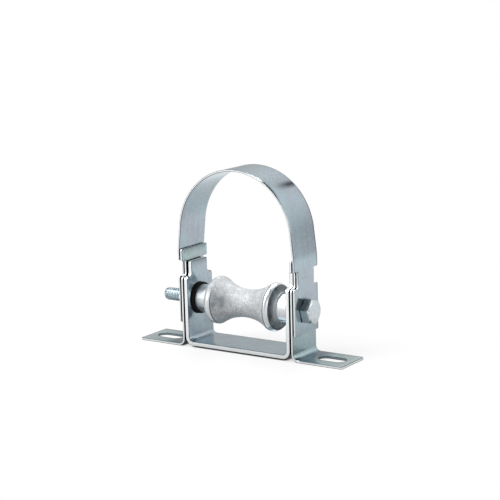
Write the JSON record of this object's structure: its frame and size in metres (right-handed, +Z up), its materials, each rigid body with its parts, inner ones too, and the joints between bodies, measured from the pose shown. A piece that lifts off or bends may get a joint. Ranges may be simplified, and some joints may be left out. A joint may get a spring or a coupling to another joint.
{
  "type": "pipe roller support",
  "caption": "Floor stand for a pipe: an hourglass roller on a bolt in a U-shaped channel with slotted feet, under an arched strap that keeps the pipe from lifting.",
  "frame": {"origin": "on the floor under the feet, midway between the foot tips and on the axle's plane", "axes": "+X along the axle towards the bolt's head, +Y along the pipe, +Z up"},
  "size_m": [0.178, 0.036, 0.1366],
  "materials": {
    "zinc_strip": "bright zinc plating, glossy",
    "cast_roller": "galvanised casting, satin",
    "zinc_bolt": "bright zinc plating, glossy",
    "black_washer": "matt"
  },
  "bodies": {
    "stand": {"base_channel": "zinc_strip", "foot_left": "zinc_strip", "foot_right": "zinc_strip", "axle_bolt": "zinc_bolt", "axle_nut": "zinc_bolt", "axle_sleeve": "zinc_bolt", "thrust_washer_left": "black_washer", "thrust_washer_right": "black_washer"},
    "roller": {"roller": "cast_roller"},
    "strap": {"strap": "zinc_strip"}
  },
  "joints": [
    {"name": "roller_spin", "type": "hinge", "parent": "stand", "child": "roller", "pos_m": [0, 0, 0.035], "axis": [1, 0, 0], "continuous": true},
    {"name": "strap_swing", "type": "hinge", "parent": "stand", "child": "strap", "pos_m": [0, 0, 0.035], "axis": [1, 0, 0], "range_deg": [-95, 95]}
  ]
}
